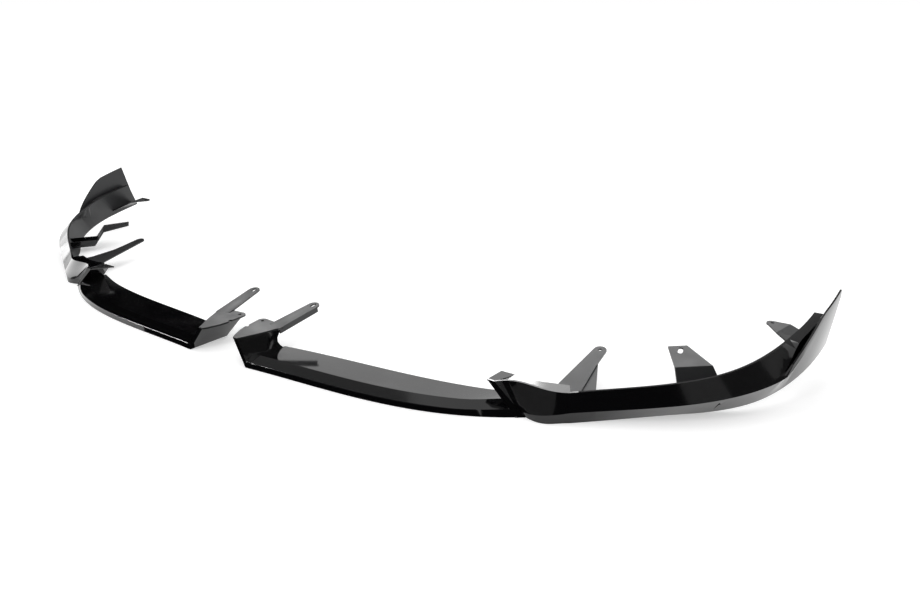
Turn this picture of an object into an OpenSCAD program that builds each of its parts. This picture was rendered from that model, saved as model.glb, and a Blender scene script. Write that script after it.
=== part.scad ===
// Front splitter lip in four thin-walled mouldings: an inner and a corner piece on each side.
// X runs across the car, Y towards the rear, Z up. The origin is the middle of the set's
// footprint, on the ground plane that the lip's lower edge lies in.

/* [Overall] */
// Half width of the set, at the blade tips
half_width = 930; // [900:1:960]
// Distance from the inner tips back to the blade tips
tail_depth = 512; // [490:1:540]
// Distance from the centre plane to each inner tip
centre_gap = 70; // [60:1:80]
// Wall thickness of every moulding
wall = 3; // [2.5:0.1:3.5]
// Clearance between the inner and corner pieces at the seam
seam_gap = 0.3; // [0.2:0.1:0.6]

/* [Inner lip] */
// Seam position across, at the ground
joint_x = 561; // [545:1:575]
// Seam position behind the inner tip, at the ground
joint_y = 103; // [95:1:110]
// How far the seam's top leans inboard
seam_lean = 54; // [44:1:60]
// Height of the seam's top
joint_h = 49; // [45:1:53]
// Sweep of the front edge at the inner tip, in degrees
nose_sweep = 5; // [3:0.5:8]
// Sweep of the front edge at the seam, in degrees
joint_sweep = 33; // [28:1:38]
// Straightness of the front edge near the tip
nose_pull = 168; // [140:1:190]
// Straightness of the front edge near the seam
joint_pull = 174; // [150:1:190]
// Height of the upright front lip
lip_h = 11; // [9:0.5:13]
// Depth of the sloped band behind the front lip
slope_run = 21; // [17:0.5:25]
// Height of the crest where the plate begins
crest_h = 18; // [16:0.5:20]
// Depth of the plate at the inner tip
plate_depth = 88; // [82:1:95]
// Depth of the plate at the seam
plate_depth_end = 58; // [52:1:64]
// Height of the plate's rear edge
plate_rear_h = 9; // [7:0.5:11]

/* [Centre fin] */
// Height of the fin's roof
fin_h = 47.5; // [44:0.5:52]
// Width of the fin's blunt front
fin_nose_w = 9; // [8:0.5:11]
// How far the fin's nose leans inboard
fin_lean = 32; // [26:1:36]
// How far the fin's nose leans back
fin_rake = 8; // [5:0.5:11]
// Length of the fin, front to back
fin_len = 84; // [80:1:88]
// Spread of the fin's roof at its rear
fin_spread = 62; // [56:1:66]
// Depth of the round cut in the fin's rear edge
fin_cut = 12; // [8:0.5:15]
// Height of the fin's lower edge
fin_foot_z = 0.6; // [0.4:0.1:1.5]
// Hole in the short tab
tab_hole_d = 6.5; // [5:0.5:8]

/* [Long arm] */
// Reach of the arm's slot behind the fin
arm_len = 90; // [80:1:100]
// Width of the arm at its root
arm_w = 29; // [26:1:32]
// Width of the arm at its end
arm_end_w = 23; // [20:1:26]
// Angle of the arm to the centre plane, in degrees
arm_yaw = 6.5; // [4:0.5:9]
// Rise of the arm, in degrees
arm_rise = 7.5; // [5:0.5:10]
// Depth of the rib under the arm's outer edge
arm_rib = 8; // [5:0.5:10]
// Width of the arm's slot
slot_w = 6.5; // [5:0.5:8]
// Length of the arm's slot
slot_len = 13; // [10:0.5:16]

/* [Corner band] */
// Sweep of the crease at its front end, in degrees
crease_sweep = 32.5; // [29:0.5:36]
// Direction of the crease at the tail, in degrees
tail_sweep = 85.5; // [82:0.5:88]
// Straightness of the crease at its front end
crease_pull = 199; // [185:1:215]
// Straightness of the crease at the tail
tail_pull = 296; // [280:1:310]
// Height of the crease behind the seam
crease_front_z = 16; // [14:0.5:18]
// Height of the crease line at the tail, without the blade
crease_tail_z = 66; // [60:0.5:70]
// Lean of the band near the seam
lean_front = 18; // [16:0.5:20]
// Lean of the band on the bend
lean_bend = 23.5; // [21:0.5:27]
// Lean of the band where the blade rises
lean_flare = 33; // [29:0.5:37]
// Lean of the band at the tail
lean_tail = 30; // [27:0.5:33]
// Height of the band's top edge near the seam
top_front_z = 44; // [42:0.5:46]
// Height of the band's top edge at the end of the bend
top_bend_z = 73.5; // [70:0.5:78]
// Height of the band's top edge at the tail
top_tail_z = 105; // [99:0.5:110]
// Deepest undercut below the crease
undercut = 36; // [32:0.5:40]
// Undercut at the tail
undercut_tail = 12; // [10:0.5:14]
// Height of the lower edge at the tail
base_tail_z = 41; // [36:0.5:45]

/* [Side blade] */
// Height of the blade's tip
blade_tip_z = 150; // [144:1:156]
// Height of the blade's top edge at its kink
blade_kink_z = 134; // [128:1:138]
// Height at which the blade's top edge leaves the band
blade_root_z = 59; // [55:1:63]
// Height of the blade's upright band
blade_band = 12; // [10:0.5:14]
// Gap between the blade and the band, at the top
slit_w = 17; // [14:0.5:19]
// How far the tail's lower corner reaches behind the blade's tip
tail_rake = 22; // [16:0.5:26]
// How far the band's upper corner stays in front of the blade's tip
band_setback = 10; // [6:0.5:13]

/* [Brackets] */
// Distance of the front bracket's hole from the centre plane
front_hole_x = 599; // [592:1:606]
// Distance of the front bracket's hole behind the inner tips
front_hole_y = 302; // [290:1:312]
// Height of the front bracket's hole
front_hole_z = 44; // [42:0.5:47]
// Width of the front bracket at its end
front_arm_w = 22; // [20:1:25]
// Rise of the front bracket, in degrees
front_rise = 8.5; // [7:0.5:10]
// Length of the middle bracket's front edge
mid_w = 63; // [56:1:68]
// Width of the middle bracket at its end
mid_end_w = 33; // [28:1:36]
// Reach of the middle bracket
mid_len = 62; // [56:1:68]
// Rise of the middle bracket, in degrees
mid_rise = 8; // [5:0.5:10]
// Height of the middle bracket's front edge
mid_z = 48; // [44:0.5:52]
// Height of the rear bracket
rear_z = 71; // [67:0.5:75]
// Reach of the rear bracket's hole from the tail
rear_reach = 97; // [90:1:104]
// Hole in the front and rear brackets
hole_d = 6.5; // [5:0.5:8]

/* [Hidden] */
gloss_black = [0.05, 0.05, 0.055];
inner_steps = 26;
fin_steps = 6;
wave_steps = 12;
band_steps = 40;

// Small helpers
function lerp(a, b, t) = a + (b - a) * t;
function ease(a, b, t) = let (u = min(1, max(0, (t - a) / (b - a)))) u * u * (3 - 2 * u);
function dir(a) = [cos(a), sin(a)];
function at(p, z) = [p.x, p.y, z];
function unit(v) = v / norm(v);

// Cubic curve in plan from p to q, leaving and arriving along two headings
function bend(p, a, pull_a, q, b, pull_b, t) =
    let (c = p + pull_a * dir(a), d = q - pull_b * dir(b), s = 1 - t)
    s * s * s * p + 3 * s * s * t * c + 3 * s * t * t * d + t * t * t * q;
function bend_dir(p, a, pull_a, q, b, pull_b, t) =
    let (c = p + pull_a * dir(a), d = q - pull_b * dir(b), s = 1 - t)
    unit(s * s * (c - p) + 2 * s * t * (d - c) + t * t * (q - d));

// Smooth curve through a short list of [position, value] pairs
function span(tab, t, i = 0) = i >= len(tab) - 2 || t <= tab[i + 1][0] ? i : span(tab, t, i + 1);
function slope(tab, i) =
    let (a = max(i - 1, 0), b = min(i + 1, len(tab) - 1))
    (tab[b][1] - tab[a][1]) / (tab[b][0] - tab[a][0]);
function through(tab, t) =
    let (i = span(tab, t), h = tab[i + 1][0] - tab[i][0], u = (t - tab[i][0]) / h)
    let (m = slope(tab, i) * h, n = slope(tab, i + 1) * h, p = tab[i][1], q = tab[i + 1][1])
    p + m * u + (3 * (q - p) - 2 * m - n) * u * u + (2 * (p - q) + m + n) * u * u * u;

// Solid skinned over a row of closed sections with equal point counts. An end that isn't flat
// is closed by its own triangles
module skin(rows, first_cap = [], last_cap = []) {
    n = len(rows[0]);
    points = [for (row = rows) each row];
    last = (len(rows) - 1) * n;
    flat = n == 4 ? [[0, 1, 2], [0, 2, 3]] : [[for (j = [0 : n - 1]) j]];
    sides = [for (i = [0 : len(rows) - 2]) for (j = [0 : n - 1])
        let (a = i * n + j, b = i * n + (j + 1) % n)
        each [[a, b, b + n], [a, b + n, a + n]]];
    start = [for (t = len(first_cap) > 0 ? first_cap : flat) [for (j = [len(t) - 1 : -1 : 0]) t[j]]];
    end = [for (t = len(last_cap) > 0 ? last_cap : flat) [for (j = t) last + j]];
    polyhedron(points, concat(sides, start, end), convexity = 8);
}

// Plan outlines. The plate's two ends reach a little way into the fin's and the cheek's walls
plate_bury = 1.8;
fin_foot_x = centre_gap + fin_nose_w;
fin_toe_out = 3;
rear_sweep_gain = 4;
rear_sweep_loss = 13;
function plate_end() = [joint_x - seam_gap / 2 - cheek_w + plate_bury, joint_y];
function front_edge(t) =
    bend([fin_foot_x - wall / 2, 1], nose_sweep, nose_pull,
         plate_end() - [0, (cheek_w - plate_bury) * tan(joint_sweep)], joint_sweep, joint_pull, t);
function rear_edge(t) =
    bend([fin_foot_x + fin_toe_out - wall / 2, plate_depth], nose_sweep + rear_sweep_gain, nose_pull,
         plate_end() + [0, plate_depth_end], joint_sweep - rear_sweep_loss, joint_pull, t);
crease_step = [31, -6];
function crease_start() = [joint_x, joint_y] + crease_step;
function crease(t) =
    bend(crease_start(), crease_sweep, crease_pull, [half_width, tail_depth], tail_sweep, tail_pull, t);
function crease_dir(t) =
    bend_dir(crease_start(), crease_sweep, crease_pull,
             [half_width, tail_depth], tail_sweep, tail_pull, t);
function inward(t) = let (h = crease_dir(t)) [-h.y, h.x];

// Stations along the crease, from 0 at its front end to 1 at the tail
wave_end = 0.07;
base_lift_from = 0.45;
bend_mid = 0.45;
bend_end = 0.6;
blade_start = 0.72;
blade_root_at = 0.735;
flare_at = 0.8;
kink_at = 0.893;
blade_blend = 6;
wave_base_in = 4;
base_at = 0.42;
base_narrow = 0.6;
base_curve = 1.5;
rake_from = 0.82;

// Heights and offsets of the corner piece's edges
function seam_x(z) = joint_x - seam_lean * z / joint_h;
function smooth_max(a, b, k) = (a + b + sqrt((a - b) * (a - b) + k * k)) / 2;
function blade_z(t) = t < kink_at
    ? lerp(blade_root_z, blade_kink_z, (t - blade_root_at) / (kink_at - blade_root_at))
    : lerp(blade_kink_z, blade_tip_z, (t - kink_at) / (1 - kink_at));
function crease_line_z(t) = lerp(crease_front_z, crease_tail_z, t);
function crease_z(t) = smooth_max(crease_line_z(t), blade_z(t) - blade_band, blade_blend);
function lean(t) =
    through([[wave_end, lean_front], [bend_mid, lean_bend], [flare_at, lean_flare], [1, lean_tail]], t);
function top_z(t) =
    through([[wave_end, top_front_z], [bend_end, top_bend_z], [1, top_tail_z]], t);
function base_in(t) =
    through([[wave_end, wave_base_in], [base_at, undercut], [blade_start, undercut * base_narrow],
             [1, undercut_tail]], t);
function base_z(t) =
    base_tail_z * pow(max(0, (t - base_lift_from) / (1 - base_lift_from)), base_curve);
function open(t) = ease(blade_start, blade_start + 0.06, t);

// The tail's end is raked: low points reach further back and the band's top stays in front
function part_of(a, b, z) = min(1, max(0, (z - a) / (b - a)));
function rake(t, in, z) =
    ease(rake_from, 1, t) * crease_dir(t)
    * (tail_rake * part_of(top_tail_z, base_tail_z, z)
       - band_setback * part_of(0, lean_tail, in) * part_of(base_tail_z, top_tail_z, z));
function edge_pt(t, in, z) = at(crease(t) + in * inward(t) + rake(t, in, z), z);
function depth() = edge_pt(1, base_in(1) + skew, base_z(1)).y;
function top_pt(t) = edge_pt(t, lean(t), top_z(t));
function base_pt(t) = edge_pt(t, base_in(t), base_z(t));
function crease_pt(t) = edge_pt(t, 0, crease_z(t));

// One section of the corner shell: outer edges from the foot b over the crease c and the slit
// to the top t, then back down inside by way of u and the inner crease i
skew = 1.3 * wall;
crease_t = 1.7 * wall;
blade_edge_in = 0.5;
slit_from = 0.7;
slit_full = 0.84;
seam_cap = [[0, 1, 10], [1, 9, 10], [1, 2, 9], [2, 3, 9], [3, 4, 9], [4, 5, 9], [5, 8, 9],
            [5, 6, 8], [6, 7, 8]];
tail_cap = [[0, 1, 9], [0, 9, 10], [1, 2, 3], [1, 3, 4], [1, 4, 9], [4, 5, 8], [4, 8, 9],
            [5, 6, 7], [5, 7, 8]];
function shell_row(b, c, e1, e2, d, g, t, n, u, i) =
    [b, c, e1, e2, d, g, t, t + skew * [n.x, n.y, 0], u, i, b + skew * [n.x, n.y, 0]];

function band_row(t) =
    let (n = inward(t), o = open(t), b = base_pt(t), c = crease_pt(t), top = top_pt(t))
    let (blade_in = blade_edge_in + wall, inside = ease(slit_from, slit_full, t))
    let (floor_z = base_z(t) + 5 * wall)
    let (floor_in = base_in(t) * (1 - (floor_z - base_z(t)) / (crease_z(t) - base_z(t))) + wall + 1)
    let (slit_in = blade_in + slit_w * ease(slit_from, slit_full + 0.04, t))
    let (slit_z = lerp(crease_line_z(t), top_z(t), inside) - 1)
    let (i = c + crease_t * [n.x, n.y, 0])
    shell_row(b, c,
        lerp(lerp(c, top, 0.06), edge_pt(t, blade_edge_in, blade_z(t)), o),
        lerp(lerp(c, top, 0.12), edge_pt(t, blade_in, blade_z(t)), o),
        lerp(lerp(c, top, 0.18), edge_pt(t, floor_in, floor_z),
             ease(slit_from + 0.04, slit_full + 0.02, t)),
        lerp(lerp(c, top, 0.24), edge_pt(t, slit_in, slit_z), o),
        top, n,
        lerp(lerp(top + skew * [n.x, n.y, 0], i, 0.1),
             edge_pt(t, slit_in + skew, slit_z - wall), inside),
        lerp(i, edge_pt(t, floor_in + skew, floor_z), inside));

wave_dip = -20;
wave_out = 30;
wave_rise = 50;
wave_crease_z = 8;
function wave_row(v) =
    let (s = seam_gap / 2, t0 = wave_end, e = seam_x(wave_crease_z) + s)
    let (n = unit(lerp([0, 1], inward(t0), v)), bt = base_pt(t0), ct = crease_pt(t0))
    let (b = at(bend([joint_x + s, joint_y], wave_dip, 38, [bt.x, bt.y], wave_out, 25, v), 0))
    let (c = at(bend([e, joint_y - 1], wave_dip, 34, [ct.x, ct.y], wave_out, 20, v),
                lerp(wave_crease_z, ct.z, v)))
    let (t = wave_top(v), i = c + crease_t * [n.x, n.y, 0])
    shell_row(b, c, lerp(c, t, 0.06), lerp(c, t, 0.12), lerp(c, t, 0.18), lerp(c, t, 0.24), t, n,
        lerp(t + skew * [n.x, n.y, 0], i, 0.1), i);
function wave_top(v) =
    let (tt = top_pt(wave_end))
    at(bend([seam_x(joint_h) + seam_gap / 2, joint_y - cheek_rake], wave_rise, 50,
            [tt.x, tt.y], wave_out, 50, v),
       lerp(joint_h, tt.z, ease(0, 1, v)));

// Inner lip: section of the plate from its front edge to its rear edge
fin_tail_lean = 2;
fin_blend = 0.15;
function plate_row(t) =
    let (f = front_edge(t), r = rear_edge(t), d = unit(r - f), len = norm(r - f))
    let (tilt = seam_lean / joint_h * ease(0.8, 1, t), fin_side = 1 - ease(0, fin_blend, t))
    [for (p = [[0, 0], [0, lip_h], [slope_run, crest_h], [len, plate_rear_h],
               [len, plate_rear_h - wall], [slope_run + 1, crest_h - wall],
               [wall, lip_h - wall / 2], [wall, 0]])
        let (fin_tilt = fin_side * lerp(fin_lean, fin_tail_lean, p[0] / fin_len) / fin_h)
        [f.x + d.x * p[0] - (tilt + fin_tilt) * p[1], f.y + d.y * p[0], p[1]]];

plate_cap = [[0, 1, 6], [0, 6, 7], [1, 2, 5], [1, 5, 6], [2, 3, 4], [2, 4, 5]];

// Centre fin: plan corners at one height, and the round cut in its outer wall's rear edge
function fin_nose(z) = [centre_gap - fin_lean * z / fin_h, fin_rake * z / fin_h];
function fin_front(z) = fin_nose(z) + [fin_nose_w, 0];
function fin_tail(z) = [fin_foot_x + fin_toe_out - fin_tail_lean * z / fin_h, fin_len];
fin_heel = [-10, -6];
fin_cut_low = 8;
fin_cut_high = 3;
function fin_inner(z) =
    lerp([centre_gap, fin_len] + fin_heel, [fin_tail(z).x - fin_spread, fin_len], z / fin_h);
function fin_cut_at(z) =
    fin_cut * max(0, sin(180 * (z - fin_cut_low) / (fin_h - fin_cut_low - fin_cut_high)));

fin_bulge = 2;
module fin_wall() {
    skin([for (i = [fin_steps : -1 : 0])
        let (z = lerp(fin_foot_z, fin_h - wall / 2, i / fin_steps), a = fin_inner(z))
        let (nose = fin_nose(z))
        let (f = fin_front(z), b = fin_tail(z), m = lerp(f, b, 0.5) + [fin_bulge * z / fin_h, 0])
        let (e = lerp(m, b, 1 - 2 * fin_cut_at(z) / fin_len))
        [for (p = [a, nose, f, m, e, e - [wall, 0], m - [wall, 0], f + [-wall, wall],
                   nose + [skew, wall], a + [skew, 0]]) at(p, z)]]);
}

function arc(c, r, from, to, steps = 10) =
    [for (i = [0 : steps]) c + r * dir(lerp(from, to, i / steps))];

module slot(width, length, depth) {
    reach = (length - width) / 2;
    for (y = [-reach, reach]) translate([0, y, -1]) cylinder(d = width, h = depth + 2, $fn = 32);
    translate([-width / 2, -reach, -1]) cube([width, 2 * reach, depth + 2]);
}

// Roof of the centre fin, with the short tab and the root of the arm
tab_r = 10.5;
tab_in = 41;
tab_hole = [centre_gap - tab_in, fin_len + 4];
arm_root = [centre_gap - 3, fin_len];
arm_lift = 0.4;
module fin_roof() {
    nose = fin_nose(fin_h);
    tail = fin_tail(fin_h);
    translate([0, 0, fin_h - wall]) difference() {
        linear_extrude(wall) polygon(concat(
            [nose, nose + [fin_nose_w, 0], lerp(nose + [fin_nose_w, 0], tail, 0.5) + [fin_bulge, 0], tail,
             arm_root + [arm_w / 2, wall], arm_root + [-arm_w / 2, 12], tab_hole + [tab_r + 6, 9]],
            arc(tab_hole, tab_r, 75, 190),
            [tab_hole + [-8, -26], tab_hole + [-4, -28], tab_hole + [-4, -32], tab_hole + [-8, -34],
             tab_hole + [-5, -50], nose + [-5, 8]]));
        translate(at(tab_hole, -1)) cylinder(d = tab_hole_d, h = wall + 2, $fn = 32);
    }
}

module long_arm() {
    hole = [0, arm_len];
    edge = arm_w / 2 - 1;
    translate(at(arm_root, fin_h - wall + arm_lift)) rotate([arm_rise, 0, 0]) rotate([0, 0, -arm_yaw]) {
        difference() {
            linear_extrude(wall) polygon(concat(
                [[-arm_w / 2 - 1, -2], [edge, -6]],
                arc(hole, arm_end_w / 2, 0, 180)));
            translate(at(hole, 0)) slot(slot_w, slot_len, wall);
        }
        translate([0, 0, -arm_rib]) linear_extrude(arm_rib + wall / 2)
            polygon([[edge - wall, -wall], [edge, -wall],
                     [arm_end_w / 2, arm_len], [arm_end_w / 2 - wall, arm_len]]);
    }
}

// Hollow end of the inner piece, open below and behind: its outer side is the seam
cheek_w = 13;
cheek_len = 50;
cheek_fall = 9;
cheek_t = 1.2 * wall;
cheek_lead = 0.8;
cheek_rake = 4;
module cheek() {
    x = joint_x - seam_gap / 2;
    back = joint_y + cheek_len;
    low = joint_h - wall / 2;
    rear_top = joint_h - cheek_fall;
    rear_low = rear_top - wall / 2;
    function side(z) = seam_x(z) - seam_gap / 2;
    function face(y) =
        let (front = joint_y - cheek_lead + y, top = joint_y - cheek_rake + y)
        [[x - cheek_w, front - cheek_w * tan(joint_sweep), 0], [x, front, 0],
         [side(joint_h), top, joint_h], [side(joint_h) - cheek_w, top + 1, joint_h]];
    function slab(a, b, z) =
        [[a.x, a.y, 0], [a.x + cheek_t, a.y, 0], [b.x + cheek_t, b.y, z], [b.x, b.y, z]];
    f = face(0.4 * wall);
    skin_gap = 0.1 * wall;
    skin([face(0), face(wall)]);
    skin([slab(f[0], [side(low) - cheek_w, f[3].y], low),
          slab([f[0].x, back], [side(rear_low) - cheek_w, back], rear_low)]);
    skin([slab(f[1] - [cheek_t, 0, 0], [side(low) - cheek_t, f[2].y], low),
          slab([x - cheek_t, back], [side(rear_low) - cheek_t, back], rear_low)]);
    skin([[for (k = [[3, -wall], [2, -wall], [2, -skin_gap], [3, -skin_gap]])
              f[k[0]] + [0, 0, k[1]]],
          [for (k = [[2, -wall], [0, -wall], [0, -skin_gap], [2, -skin_gap]])
              [side(rear_top) - k[0] * cheek_w, back, rear_top + k[1]]]]);
}

module inner_lip() {
    color(gloss_black) union() {
        skin([for (i = [0 : inner_steps]) plate_row(i / inner_steps)], plate_cap, plate_cap);
        fin_wall();
        fin_roof();
        long_arm();
        cheek();
    }
}

// Corner shell: the wave beside the seam, then the band, and the blade beyond the bend
module corner_shell() {
    wave = [for (i = [0 : wave_steps - 1]) wave_row(i / wave_steps)];
    band = [for (i = [0 : band_steps]) band_row(lerp(wave_end, 1, i / band_steps))];
    skin(concat(wave, band), seam_cap, tail_cap);
}

// Side wall of the corner piece along the seam
module corner_cheek() {
    s = seam_gap / 2;
    function quad(y, z) =
        [[joint_x + s, y, 0], [joint_x + s + skew, y, 0],
         [seam_x(z) + s + skew, y, z], [seam_x(z) + s, y, z]];
    skin([quad(joint_y + 2, top_front_z + 2), quad(joint_y + cheek_len, joint_h - cheek_fall)]);
}

module joint_flange() {
    s = seam_gap / 2;
    z = top_front_z - wall;
    wave = [for (v = [0 : 0.125 : 1]) let (p = wave_top(v)) [p.x, p.y + wall]];
    seam_end = [seam_x(z) + s + 2, joint_y - 4];
    translate([0, 0, z]) linear_extrude(wall) polygon(concat(
        [for (i = [1 : 8]) wave[i]],
        [wave[8] + [-10, 20], wave[5] + [-8, 20], wave[3] + [-8, 22], wave[1] + [0, 36],
         seam_end + [0, 26], seam_end + [0, 4]]));
}

// Plan point inside the front wall, a little inboard of its crease
foot_depth = 0.8;
function foot(p, row) = [p.x, p.y] + foot_depth * [row[7].x - row[6].x, row[7].y - row[6].y];

// Arm from the front wall up to its hole, with a lower flap along its outboard side
module front_bracket() {
    hole = [front_hole_x, front_hole_y];
    drop = tan(front_rise);
    root = concat(
        [for (v = [0.55, 0.75, 1]) let (p = foot(wave_row(v)[1], wave_row(v))) p - hole],
        [for (t = [0.09, 0.11]) foot(crease_pt(t), band_row(t)) - hole]);
    flap_root = [for (t = [0.1, 0.13, 0.16]) foot(crease_pt(t), band_row(t)) - hole];
    translate(at(hole, front_hole_z - wall)) rotate([front_rise, 0, 0]) {
        difference() {
            linear_extrude(wall) polygon(concat(
                [for (i = [len(root) - 1 : -1 : 0]) root[i]],
                [[-22, -117]], arc([0, 0], front_arm_w / 2, 180, 0), [[12, -38], [18, -115]]));
            translate([0, 0, -1]) cylinder(d = hole_d, h = wall + 2, $fn = 32);
        }
        translate([0, 0, 0.5 - wall]) linear_extrude(wall) polygon(concat(
            [for (i = [len(flap_root) - 1 : -1 : 0]) flap_root[i]],
            [[8, -118], [8, -42], [12, -38], [37, -107]]));
    }
}

// Slotted plate on a leaning wall that stands inside the bend on a hollow bridge
mid_reach = 100;
mid_from = -8;
mid_foot_z = 12;
mid_foot_in = 26;
mid_taper = 10;
mid_foot_w = 13;
mid_slot = [8, 19];
mid_slot_back = 14;
mid_slot_yaw = 7;
bridge_from = 27;
bridge_h = 15;
module middle_bracket() {
    heading = crease_dir(bend_mid);
    turn = atan2(heading.y, heading.x);
    bridge_w = mid_w * 0.6;
    foot_y = mid_reach - mid_foot_in;
    rise = mid_z - wall / 2 - mid_foot_z;
    translate(at(crease(bend_mid), 0)) rotate([0, 0, turn])
    translate([mid_from, 0, 0]) {
        translate([0, mid_reach, mid_z]) rotate([mid_rise, 0, 0]) difference() {
            translate([0, 0, -wall]) linear_extrude(wall)
                polygon([[0, 0], [mid_w, 0], [mid_taper + mid_end_w, mid_len], [mid_taper, mid_len]]);
            translate([mid_taper + mid_end_w / 2, mid_len - mid_slot_back, -wall])
                rotate([0, 0, mid_slot_yaw - turn]) slot(mid_slot.x, mid_slot.y, wall);
        }
        translate([0, foot_y + wall, mid_foot_z]) rotate([90 - atan(mid_foot_in / rise), 0, 0])
            linear_extrude(wall)
            polygon([[0, 0], [mid_w + mid_foot_w, 0], [mid_w, norm([rise, mid_foot_in])],
                     [0, norm([rise, mid_foot_in])]]);
        for (x = [0, bridge_w]) translate([x, 0, mid_foot_z]) rotate([90, 0, 90]) linear_extrude(wall)
            polygon([[bridge_from, 0], [foot_y + 1, 0], [foot_y + 1 + bridge_h * mid_foot_in / rise, bridge_h],
                     [bridge_from - bridge_h + 1, bridge_h]]);
        translate([0, bridge_from, mid_foot_z]) cube([bridge_w + wall, foot_y - bridge_from + 1, wall]);
    }
}

// Flat holed plate with a facet that falls to the tail's inner face
rear_front = 6;
rear_drop = 30;
rear_r = 10;
module rear_bracket() {
    hole = [half_width - rear_reach, tail_depth - rear_front];
    inner = hole + [14, -38];
    outer = hole + [28, 10];
    foot_in = edge_pt(kink_at + 0.007, 18, rear_z - rear_drop);
    foot_out = edge_pt(0.985, 14, rear_z - rear_drop);
    translate([0, 0, rear_z - wall]) difference() {
        linear_extrude(wall) polygon(concat([inner, outer], arc(hole, rear_r, 80, 240)));
        translate(at(hole, -1)) cylinder(d = hole_d, h = wall + 2, $fn = 32);
    }
    skin([
        [at(inner, rear_z - wall), at(inner, rear_z), at(outer, rear_z), at(outer, rear_z - wall)],
        [foot_in, foot_in + [0, 0, skew], foot_out + [0, 0, skew], foot_out]]);
}

module corner_lip() {
    color(gloss_black) union() {
        corner_shell();
        corner_cheek();
        joint_flange();
        front_bracket();
        middle_bracket();
        rear_bracket();
    }
}

// The left pieces mirror the right ones, and the set is centred on its footprint
module placed(side) {
    translate([0, -depth() / 2, 0]) mirror([side < 0 ? 1 : 0, 0, 0]) children();
}
module inner_lip_right() { placed(1) inner_lip(); }
module inner_lip_left() { placed(-1) inner_lip(); }
module corner_lip_right() { placed(1) corner_lip(); }
module corner_lip_left() { placed(-1) corner_lip(); }

inner_lip_right();
inner_lip_left();
corner_lip_right();
corner_lip_left();
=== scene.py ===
"""Front splitter lip set in gloss black ABS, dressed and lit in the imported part's own frame."""

import logging
import math
from dataclasses import dataclass, field
from enum import Enum

import bpy
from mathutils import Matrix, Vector


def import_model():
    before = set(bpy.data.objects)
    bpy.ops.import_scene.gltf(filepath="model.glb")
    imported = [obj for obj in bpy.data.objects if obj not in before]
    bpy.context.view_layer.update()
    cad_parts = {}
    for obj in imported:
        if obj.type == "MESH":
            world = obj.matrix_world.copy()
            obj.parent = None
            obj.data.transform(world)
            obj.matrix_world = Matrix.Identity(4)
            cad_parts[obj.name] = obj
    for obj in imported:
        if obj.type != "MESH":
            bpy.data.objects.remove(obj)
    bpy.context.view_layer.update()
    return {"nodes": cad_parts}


LOG = logging.getLogger("splitter")
MM = 0.001
SPOT_DIGITS = 6


def to_linear(hex_colour: str) -> tuple[float, float, float, float]:
    """Turn an sRGB hex colour to linear.

    Args:
        hex_colour: The colour as written, such as "#0b0b0c".

    Returns:
        Linear red, green, blue and an alpha of one.
    """
    channels = [int(hex_colour[i:i + 2], 16) / 255 for i in (1, 3, 5)]
    linear = [c / 12.92 if c <= 0.04045 else ((c + 0.055) / 1.055) ** 2.4 for c in channels]
    return (linear[0], linear[1], linear[2], 1.0)


def add_node(tree: bpy.types.NodeTree, kind: str, settings: dict[str, object] | None = None,
             links: dict[str, bpy.types.NodeSocket] | None = None) -> bpy.types.Node:
    """Add one node with its settings and links.

    Args:
        tree: The node tree that gets the node.
        kind: Blender's name for the node type.
        settings: Input names or attribute names, each with its value.
        links: Input names, each with the output that feeds it.

    Returns:
        The new node.
    """
    node = tree.nodes.new(kind)
    for name, value in (settings or {}).items():
        if name in node.inputs:
            node.inputs[name].default_value = value
        else:
            setattr(node, name, value)
    for name, source in (links or {}).items():
        tree.links.new(source, node.inputs[name])
    return node


def new_material(name: str) -> bpy.types.Material:
    """Make an empty node material.

    Args:
        name: The material's name.

    Returns:
        The material, with no nodes in its tree.
    """
    material = bpy.data.materials.new(name)
    material.use_nodes = True
    material.node_tree.nodes.clear()
    return material


def seen_ray(tree: bpy.types.NodeTree) -> bpy.types.NodeSocket:
    """Tell rays that see the background, straight or in a glossy or clear piece, from the rest.

    Args:
        tree: The node tree that gets the nodes.

    Returns:
        An output that is one for such a ray and zero for any other.
    """
    path = add_node(tree, "ShaderNodeLightPath")
    seen = path.outputs["Is Camera Ray"]
    for name in ("Is Glossy Ray", "Is Transmission Ray"):
        either = add_node(tree, "ShaderNodeMath", {"operation": "MAXIMUM"})
        tree.links.new(seen, either.inputs[0])
        tree.links.new(path.outputs[name], either.inputs[1])
        seen = either.outputs[0]
    return seen


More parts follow.
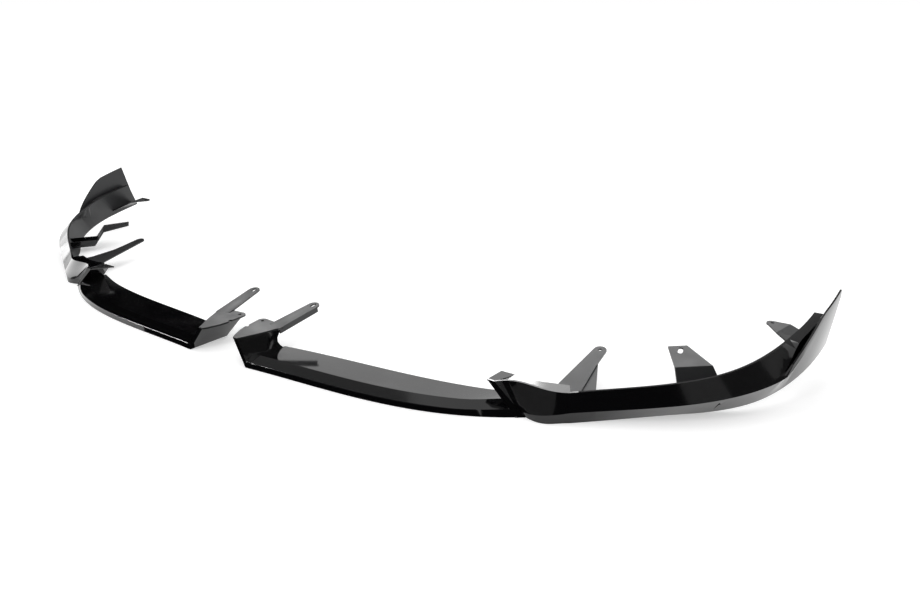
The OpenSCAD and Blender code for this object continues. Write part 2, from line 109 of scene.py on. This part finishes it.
@dataclass(frozen=True)
class MouldedGlossAbs:
    """Black ABS from a polished mould, lacquered to a piano black.

    The polish gives sharp reflections, the lacquer's flow gives a faint long wave in them, and
    handling leaves a slight haze that only shows where light grazes it.
    """

    colour: str = "#070708"
    ior: float = 1.5
    polish: float = 0.05
    haze: float = 0.16
    flow_mm: float = 9.0
    flow_depth_mm: float = 0.004
    flow_strength: float = 0.35
    haze_mm: float = 60.0
    haze_octaves: float = 3.0
    haze_contrast: float = 0.6
    scuff_mm: float = 1.6
    marks_from: float = 0.15
    marks_to: float = 0.45

    def build(self) -> bpy.types.Material:
        """Build the material.

        Returns:
            The finished material.
        """
        material = new_material("moulded_gloss_abs")
        tree = material.node_tree
        place = add_node(tree, "ShaderNodeTexCoord").outputs["Object"]
        haze = add_node(tree, "ShaderNodeTexNoise",
                        {"Scale": 1 / (self.haze_mm * MM), "Detail": self.haze_octaves,
                         "Roughness": self.haze_contrast},
                        {"Vector": place})
        scuff = add_node(tree, "ShaderNodeTexNoise",
                         {"Scale": 1 / (self.scuff_mm * MM), "Detail": 2.0}, {"Vector": place})
        marks = add_node(tree, "ShaderNodeMath", {"operation": "MULTIPLY"})
        tree.links.new(haze.outputs["Fac"], marks.inputs[0])
        tree.links.new(scuff.outputs["Fac"], marks.inputs[1])
        rough = add_node(tree, "ShaderNodeMapRange",
                         {"From Min": self.marks_from, "From Max": self.marks_to,
                          "To Min": self.polish, "To Max": self.haze},
                         {"Value": marks.outputs[0]})
        flow = add_node(tree, "ShaderNodeTexNoise",
                        {"Scale": 1 / (self.flow_mm * MM), "Detail": 1.0}, {"Vector": place})
        bump = add_node(tree, "ShaderNodeBump",
                        {"Strength": self.flow_strength, "Distance": self.flow_depth_mm * MM},
                        {"Height": flow.outputs["Fac"]})
        shader = add_node(tree, "ShaderNodeBsdfPrincipled",
                          {"Base Color": to_linear(self.colour), "IOR": self.ior},
                          {"Roughness": rough.outputs["Result"], "Normal": bump.outputs["Normal"]})
        add_node(tree, "ShaderNodeOutputMaterial", links={"Surface": shader.outputs["BSDF"]})
        return material


@dataclass(frozen=True)
class MouldedSatinAbs:
    """The same black ABS where the mould is spark-eroded: brackets, tabs and inner sides.

    The fine pits scatter the light, so that these faces look dark grey and even. Their real
    spacing is finer than a pixel, and they are drawn a little coarser, so that they show.
    """

    colour: str = "#17181a"
    ior: float = 1.52
    roughness_low: float = 0.31
    roughness_high: float = 0.42
    pit_mm: float = 1.1
    pit_depth_mm: float = 0.02
    pit_octaves: float = 3.0
    pit_contrast: float = 0.65
    pit_strength: float = 0.5
    cloud_mm: float = 45.0
    cloud_from: float = 0.3
    cloud_to: float = 0.7

    def build(self) -> bpy.types.Material:
        """Build the material.

        Returns:
            The finished material.
        """
        material = new_material("moulded_satin_abs")
        tree = material.node_tree
        place = add_node(tree, "ShaderNodeTexCoord").outputs["Object"]
        pits = add_node(tree, "ShaderNodeTexNoise",
                        {"Scale": 1 / (self.pit_mm * MM), "Detail": self.pit_octaves,
                         "Roughness": self.pit_contrast},
                        {"Vector": place})
        cloud = add_node(tree, "ShaderNodeTexNoise",
                         {"Scale": 1 / (self.cloud_mm * MM), "Detail": 2.0}, {"Vector": place})
        rough = add_node(tree, "ShaderNodeMapRange",
                         {"From Min": self.cloud_from, "From Max": self.cloud_to,
                          "To Min": self.roughness_low, "To Max": self.roughness_high},
                         {"Value": cloud.outputs["Fac"]})
        bump = add_node(tree, "ShaderNodeBump",
                        {"Strength": self.pit_strength, "Distance": self.pit_depth_mm * MM},
                        {"Height": pits.outputs["Fac"]})
        shader = add_node(tree, "ShaderNodeBsdfPrincipled",
                          {"Base Color": to_linear(self.colour), "IOR": self.ior},
                          {"Roughness": rough.outputs["Result"], "Normal": bump.outputs["Normal"]})
        add_node(tree, "ShaderNodeOutputMaterial", links={"Surface": shader.outputs["BSDF"]})
        return material


@dataclass(frozen=True)
class TrimmedAbs:
    """The rim where the moulding is cut from its flash and sanded: matt and dark."""

    colour: str = "#0d0d0e"
    ior: float = 1.5
    roughness: float = 0.7
    shine: float = 0.2
    scratch_mm: float = 0.9
    scratch_depth_mm: float = 0.03
    scratch_strength: float = 0.5

    def build(self) -> bpy.types.Material:
        """Build the material.

        Returns:
            The finished material.
        """
        material = new_material("trimmed_abs")
        tree = material.node_tree
        place = add_node(tree, "ShaderNodeTexCoord").outputs["Object"]
        scratches = add_node(tree, "ShaderNodeTexNoise",
                             {"Scale": 1 / (self.scratch_mm * MM), "Detail": 2.0},
                             {"Vector": place})
        bump = add_node(tree, "ShaderNodeBump",
                        {"Strength": self.scratch_strength,
                         "Distance": self.scratch_depth_mm * MM},
                        {"Height": scratches.outputs["Fac"]})
        shader = add_node(tree, "ShaderNodeBsdfPrincipled",
                          {"Base Color": to_linear(self.colour), "IOR": self.ior,
                           "Roughness": self.roughness, "Specular IOR Level": self.shine},
                          {"Normal": bump.outputs["Normal"]})
        add_node(tree, "ShaderNodeOutputMaterial", links={"Surface": shader.outputs["BSDF"]})
        return material


@dataclass(frozen=True)
class StudioPaper:
    """Matt white background paper, which lies flat and keeps the soft shadows.

    It glows a little where it is seen or mirrored, so that the background is plain white.
    """

    colour: str = "#e9e9e9"
    glow: float = 0.40

    def build(self) -> bpy.types.Material:
        """Build the material.

        Returns:
            The finished material.
        """
        material = new_material("studio_paper")
        tree = material.node_tree
        matt = add_node(tree, "ShaderNodeBsdfDiffuse", {"Color": to_linear(self.colour)})
        strength = add_node(tree, "ShaderNodeMath", {"operation": "MULTIPLY"})
        tree.links.new(seen_ray(tree), strength.inputs[0])
        strength.inputs[1].default_value = self.glow
        glow = add_node(tree, "ShaderNodeEmission", links={"Strength": strength.outputs[0]})
        both = add_node(tree, "ShaderNodeAddShader")
        tree.links.new(matt.outputs["BSDF"], both.inputs[0])
        tree.links.new(glow.outputs["Emission"], both.inputs[1])
        add_node(tree, "ShaderNodeOutputMaterial", links={"Surface": both.outputs["Shader"]})
        return material


@dataclass(frozen=True)
class FlockedBoard:
    """Flocked board, as studios hang up to keep light out of a glossy surface."""

    colour: str = "#020202"

    def build(self) -> bpy.types.Material:
        """Build the material.

        Returns:
            The finished material.
        """
        material = new_material("flocked_board")
        tree = material.node_tree
        shader = add_node(tree, "ShaderNodeBsdfDiffuse", {"Color": to_linear(self.colour)})
        add_node(tree, "ShaderNodeOutputMaterial", links={"Surface": shader.outputs["BSDF"]})
        return material


def mesh_object(name: str, points: list[Vector], faces: list[list[int]],
                material: bpy.types.Material) -> bpy.types.Object:
    """Make a mesh object and link it to the scene.

    Args:
        name: The object's name.
        points: Its corners, in metres.
        faces: Corner numbers of each face.
        material: The finish it gets.

    Returns:
        The new object.
    """
    mesh = bpy.data.meshes.new(name)
    mesh.from_pydata([tuple(p) for p in points], [], faces)
    mesh.materials.append(material)
    piece = bpy.data.objects.new(name, mesh)
    bpy.context.scene.collection.objects.link(piece)
    return piece


class Side(Enum):
    """The side of the car that a moulding fits, as the sign of X."""

    RIGHT = 1
    LEFT = -1


class Finish(Enum):
    """The finishes of a moulding, as the numbers of its material slots."""

    GLOSS = 0
    SATIN = 1
    TRIMMED = 2


@dataclass(frozen=True)
class Crease:
    """The corner's crease line in plan: one cubic curve with its two end directions."""

    start: tuple[float, float] = (0.592, -0.1706)
    end: tuple[float, float] = (0.930, 0.2444)
    start_deg: float = 32.5
    end_deg: float = 85.5
    start_pull: float = 0.199
    end_pull: float = 0.296
    steps: int = 60

    def points(self) -> list[Vector]:
        """Walk along the crease.

        Returns:
            Points from its front end to the tail, in metres.
        """
        a, d = Vector(self.start), Vector(self.end)
        b = a + self.start_pull * Vector((math.cos(math.radians(self.start_deg)),
                                          math.sin(math.radians(self.start_deg))))
        c = d - self.end_pull * Vector((math.cos(math.radians(self.end_deg)),
                                        math.sin(math.radians(self.end_deg))))
        line = []
        for i in range(self.steps + 1):
            t = i / self.steps
            s = 1 - t
            line.append(s * s * s * a + 3 * s * s * t * b + 3 * s * t * t * c + t * t * t * d)
        return line


@dataclass
class Moulding:
    """One moulding of the set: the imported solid, with softened edges and its finishes."""

    node: str
    side: Side
    finishes: dict[Finish, bpy.types.Material]
    edge_mm: float = 1.1
    edge_segments: int = 3
    sharp_deg: float = 24.0
    weld_mm: float = 0.002

    def dress(self, solid: bpy.types.Object) -> None:
        """Give the solid its finishes and round its soft edges as the mould does.

        Args:
            solid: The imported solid.
        """
        mesh = solid.data
        mesh.materials.clear()
        for finish in Finish:
            mesh.materials.append(self.finishes[finish])
        for name in ("custom_normal", "sharp_face", "sharp_edge"):
            if name in mesh.attributes:
                mesh.attributes.remove(mesh.attributes[name])
        mesh.polygons.foreach_set("use_smooth", [True] * len(mesh.polygons))
        slots = [self.finish_of(p.center.copy(), p.normal.copy()).value for p in mesh.polygons]
        mesh.polygons.foreach_set("material_index", slots)
        self.mark_edges(mesh)
        weld = solid.modifiers.new("weld", "WELD")
        weld.merge_threshold = self.weld_mm * MM
        bevel = solid.modifiers.new("edges", "BEVEL")
        bevel.width = self.edge_mm * MM
        bevel.segments = self.edge_segments
        bevel.limit_method = "WEIGHT"
        bevel.use_clamp_overlap = True
        bevel.harden_normals = True
        LOG.info("dressed %s: %d faces, %d of them polished", self.node, len(slots),
                 slots.count(Finish.GLOSS.value))

    def mark_edges(self, mesh: bpy.types.Mesh) -> None:
        """Mark the sharp edges, and among them the ones that the mould rounds.

        Args:
            mesh: The moulding's mesh.
        """
        spots = [tuple(round(c, SPOT_DIGITS) for c in v.co) for v in mesh.vertices]
        meeting: dict[frozenset, list[Vector]] = {}
        for face in mesh.polygons:
            for pair in face.edge_keys:
                ends = frozenset(spots[i] for i in pair)
                meeting.setdefault(ends, []).append(face.normal.copy())
        sharp, soft = [], []
        for edge in mesh.edges:
            normals = meeting.get(frozenset(spots[i] for i in edge.vertices), [])
            turn = normals[0].angle(normals[1], 0.0) if len(normals) == 2 else 0.0
            sharp.append(turn > math.radians(self.sharp_deg))
            soft.append(float(sharp[-1] and self.is_soft(*sorted(normals, key=lambda n: n.z))))
        mesh.attributes.new("sharp_edge", "BOOLEAN", "EDGE").data.foreach_set("value", sharp)
        mesh.attributes.new("bevel_weight_edge", "FLOAT", "EDGE").data.foreach_set("value", soft)
        LOG.info("%s: %d sharp edges, %d rounded", self.node, sum(sharp), int(sum(soft)))

    def is_soft(self, lower: Vector, upper: Vector) -> bool:
        """Tell the rounded edges from the crisp ones.

        Args:
            lower: The way the lower-facing of the two faces looks.
            upper: The way the other face looks.

        Returns:
            True where the mould rounds the edge.
        """
        raise NotImplementedError

    def finish_of(self, place: Vector, normal: Vector) -> Finish:
        """Choose the finish of one face.

        Args:
            place: The middle of the face, in metres.
            normal: The way it faces.

        Returns:
            The finish that the face gets.
        """
        raise NotImplementedError


@dataclass
class InnerMoulding(Moulding):
    """Inner lip: the fin's roof, the tab and the long arm are satin."""

    roof_z: float = 0.0440
    arm_y: float = -0.185
    arm_x: float = 0.115
    arm_z: float = 0.03
    band_level: float = 0.9
    band_front: float = -0.2
    lip_level: float = 0.1
    lip_front: float = -0.8

    def is_soft(self, lower: Vector, upper: Vector) -> bool:
        """Find the crest between the sloped band and the upright front lip.

        Args:
            lower: The way the lower-facing of the two faces looks.
            upper: The way the other face looks.

        Returns:
            True for the crest.
        """
        on_band = upper.z > self.band_level and upper.y < self.band_front
        return on_band and abs(lower.z) < self.lip_level and lower.y < self.lip_front

    def finish_of(self, place: Vector, normal: Vector) -> Finish:
        """Find the roof, the tab and the arm, which are satin.

        Args:
            place: The middle of the face, in metres.
            normal: The way it faces.

        Returns:
            The finish that the face gets.
        """
        on_arm = place.y > self.arm_y and place.z > self.arm_z
        if abs(place.x) < self.arm_x and (place.z > self.roof_z or on_arm):
            return Finish.SATIN
        return Finish.GLOSS


@dataclass
class CornerMoulding(Moulding):
    """Corner lip: brackets and inner side are satin, and the shell's rim is trimmed."""

    edge_mm: float = 0.8
    crease: Crease = field(default_factory=Crease)
    shell_depth: float = 0.044
    rim_level: float = 0.95
    inner_lean: float = 0.3
    flange_end_x: float = 0.628
    level: float = 0.995
    crease_lean: float = 0.4

    def is_soft(self, lower: Vector, upper: Vector) -> bool:
        """Find the crease between the band and its undercut.

        Args:
            lower: The way the lower-facing of the two faces looks.
            upper: The way the other face looks.

        Returns:
            True for the crease.
        """
        return upper.z > self.crease_lean and lower.z < -self.crease_lean

    def finish_of(self, place: Vector, normal: Vector) -> Finish:
        """Find the brackets, the inner side, the flange behind the wave and the rim.

        Args:
            place: The middle of the face, in metres.
            normal: The way it faces.

        Returns:
            The finish that the face gets.
        """
        point = Vector((abs(place.x), place.y))
        line = self.crease.points()
        index = min(range(len(line) - 1), key=lambda i: (line[i] - point).length)
        along = (line[index + 1] - line[index]).normalized()
        inward = Vector((-along.y, along.x))
        depth = (point - line[index]).dot(inward)
        if normal.z > self.level and point.x < self.flange_end_x:
            return Finish.GLOSS
        if normal.z > self.rim_level and depth < self.shell_depth:
            return Finish.TRIMMED
        facing = Vector((normal.x * self.side.value, normal.y)).dot(inward)
        if depth > self.shell_depth or facing > self.inner_lean:
            return Finish.SATIN
        return Finish.GLOSS


def direction(turn_deg: float, lift_deg: float) -> Vector:
    """Point outwards from the middle of the set.

    Args:
        turn_deg: Angle from the rear towards the left, seen from above.
        lift_deg: Angle above the floor.

    Returns:
        A vector that is one long in plan.
    """
    turn = math.radians(turn_deg)
    return Vector((-math.sin(turn), math.cos(turn), math.tan(math.radians(lift_deg))))


@dataclass(frozen=True)
class Board:
    """One board round the set, by the angles that it fills as seen from the middle."""

    low_deg: float
    high_deg: float
    from_deg: float
    to_deg: float
    colour: str = "#020202"


@dataclass(frozen=True)
class SoftLamp:
    """One soft box: its direction, how wide and high it is, and how bright it looks.

    One that isn't mirrored only lights the set, and one that lights nothing is only mirrored.
    """

    name: str
    turn_deg: float
    lift_deg: float
    far: float
    size: tuple[float, float]
    radiance: float
    mirrored: bool = True
    lights: bool = True


@dataclass
class Studio:
    """White paper floor, soft lamps all round, and dark boards that only the gloss shows."""

    paper: StudioPaper = field(default_factory=StudioPaper)
    floor_half: float = 60.0
    sky: float = 1.0
    fill: float = 0.9
    board_far: float = 3.0
    board_step_deg: float = 15.0
    boards: dict[str, Board] = field(default_factory=lambda: {
        "board_left_low": Board(-1.0, 20.0, 44.5, 60.0),
        "board_left_middle": Board(5.5, 20.0, 60.0, 84.0),
        "board_left": Board(20.0, 44.0, 60.0, 118.0),
        "board_left_high": Board(44.0, 72.0, 57.0, 118.0, "#a8a8a8"),
        "board_front_left": Board(-1.0, 66.0, 118.0, 200.0, "#8c8c8c"),
        "board_front": Board(-1.0, 66.0, 200.0, 241.0),
        "board_front_right": Board(-1.0, 66.0, 241.0, 264.0, "#a8a8a8"),
        "board_right": Board(-1.0, 66.0, 264.0, 288.0, "#5a5a5a"),
        "board_right_rear": Board(-1.0, 60.0, 288.0, 314.0, "#a4a4a4"),
    })
    low_board: tuple[tuple[float, float], ...] = (
        (-0.20, -0.253), (-0.09, -0.258), (0.09, -0.258), (0.30, -0.245),
        (0.44, -0.215), (0.55, -0.165), (0.56, -0.30), (0.30, -0.75), (-0.5, -0.9),
        (-0.5, -0.42))
    low_board_z: float = -0.0001
    lamps: tuple[SoftLamp, ...] = (
        SoftLamp("lamp_rear", 7.4, 38.9, 3.5, (2.4, 1.3), 2.3),
        SoftLamp("lamp_flange", 25.0, 28.5, 2.9, (0.9, 0.42), 10.0, lights=False),
        SoftLamp("lamp_left", 100.1, 9.0, 3.19, (1.9, 0.9), 2.6),
        SoftLamp("lamp_strip_left", 115.0, 27.5, 2.9, (0.9, 0.36), 60.0, lights=False),
        SoftLamp("lamp_roof", 50.0, 28.0, 2.9, (0.8, 0.5), 4.0, lights=False),
        SoftLamp("lamp_left_low", 76.0, 2.6, 2.9, (0.8, 0.26), 1.2, lights=False),
        SoftLamp("lamp_strip_right", 139.5, 20.5, 2.9, (0.6, 0.55), 55.0, lights=False),
        SoftLamp("lamp_front", 180.0, 46.5, 2.76, (0.5, 0.5), 12.0, mirrored=False),
    )

    def build(self) -> None:
        """Build the floor, the boards, the lamps and the world."""
        self._floor()
        self._boards()
        self._lamps()
        self._world()

    def _floor(self) -> None:
        """Lay the paper under the set."""
        h = self.floor_half
        floor = mesh_object("floor", [Vector((x, y, -0.0002)) for x, y in
                                      ((-h, -h), (h, -h), (h, h), (-h, h))],
                            [[0, 1, 2, 3]], self.paper.build())

    def _boards(self) -> None:
        """Hang the boards, and lay one before the front edge. Only the gloss sees them."""
        for name, board in self.boards.items():
            span = board.to_deg - board.from_deg
            steps = max(2, round(span / self.board_step_deg))
            points = []
            for i in range(steps + 1):
                for lift in (board.low_deg, board.high_deg):
                    way = direction(board.from_deg + span * i / steps, lift)
                    points.append(way * self.board_far)
            faces = [[2 * i, 2 * i + 2, 2 * i + 3, 2 * i + 1] for i in range(steps)]
            finish = FlockedBoard(board.colour).build()
            self._hide_from_all_but_gloss(mesh_object(name, points, faces, finish))
        points = [Vector((x, y, self.low_board_z)) for x, y in self.low_board]
        self._hide_from_all_but_gloss(
            mesh_object("board_low", points, [list(range(len(points)))], FlockedBoard().build()))

    def _hide_from_all_but_gloss(self, board: bpy.types.Object) -> None:
        """Let only glossy rays meet a board, and leave it out of the object.

        Args:
            board: The board.
        """
        board.visible_camera = False
        board.visible_diffuse = False
        board.visible_shadow = False
        board.visible_transmission = False
        LOG.info("hung %s", board.name)

    def _lamps(self) -> None:
        """Place the soft lamps round the set."""
        for lamp in self.lamps:
            data = bpy.data.lights.new(lamp.name, "AREA")
            data.shape = "RECTANGLE"
            data.size, data.size_y = lamp.size
            data.energy = lamp.radiance * math.pi * lamp.size[0] * lamp.size[1]
            holder = bpy.data.objects.new(lamp.name, data)
            holder.location = direction(lamp.turn_deg, lamp.lift_deg).normalized() * lamp.far
            holder.rotation_euler = (-holder.location).to_track_quat("-Z", "Y").to_euler()
            holder.visible_glossy = lamp.mirrored
            holder.visible_diffuse = lamp.lights
            bpy.context.scene.collection.objects.link(holder)
            LOG.info("placed %s", lamp.name)

    def _world(self) -> None:
        """Set the surroundings: white where they are seen, a plain soft light elsewhere."""
        world = bpy.data.worlds.new("studio")
        world.use_nodes = True
        tree = world.node_tree
        tree.nodes.clear()
        strength = add_node(tree, "ShaderNodeMapRange",
                            {"To Min": self.fill, "To Max": self.sky}, {"Value": seen_ray(tree)})
        light = add_node(tree, "ShaderNodeBackground", {"Color": (1.0, 1.0, 1.0, 1.0)},
                         {"Strength": strength.outputs["Result"]})
        add_node(tree, "ShaderNodeOutputWorld", links={"Surface": light.outputs["Background"]})
        bpy.context.scene.world = world
        bpy.context.scene.view_settings.view_transform = "Standard"


@dataclass
class StudioCamera:
    """Camera at the photograph's viewing point, solved from mirrored corners of the set."""

    place: tuple[float, float, float] = (1.01102, -1.08892, 0.59674)
    azimuth_deg: float = 31.555
    down_deg: float = 22.02
    lens_mm: float = 30.0
    sensor_mm: float = 36.0

    def build(self) -> None:
        """Create the camera and make it the scene's own."""
        data = bpy.data.cameras.new("camera")
        data.lens = self.lens_mm
        data.sensor_width = self.sensor_mm
        data.clip_start = 0.02
        data.clip_end = 300.0
        holder = bpy.data.objects.new("camera", data)
        holder.location = self.place
        holder.rotation_euler = (math.radians(90 - self.down_deg), 0.0,
                                 math.radians(self.azimuth_deg))
        bpy.context.scene.collection.objects.link(holder)
        bpy.context.scene.camera = holder


def main() -> None:
    """Build the camera, the studio and the four mouldings."""
    logging.basicConfig(level=logging.INFO, format="%(name)s: %(message)s")
    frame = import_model()
    StudioCamera().build()
    Studio().build()
    finishes = {Finish.GLOSS: MouldedGlossAbs().build(), Finish.SATIN: MouldedSatinAbs().build(),
                Finish.TRIMMED: TrimmedAbs().build()}
    for side in Side:
        inner, corner = f"inner_lip_{side.name.lower()}", f"corner_lip_{side.name.lower()}"
        InnerMoulding(inner, side, finishes).dress(frame["nodes"][inner])
        CornerMoulding(corner, side, finishes).dress(frame["nodes"][corner])


if __name__ == "__main__":
    main()
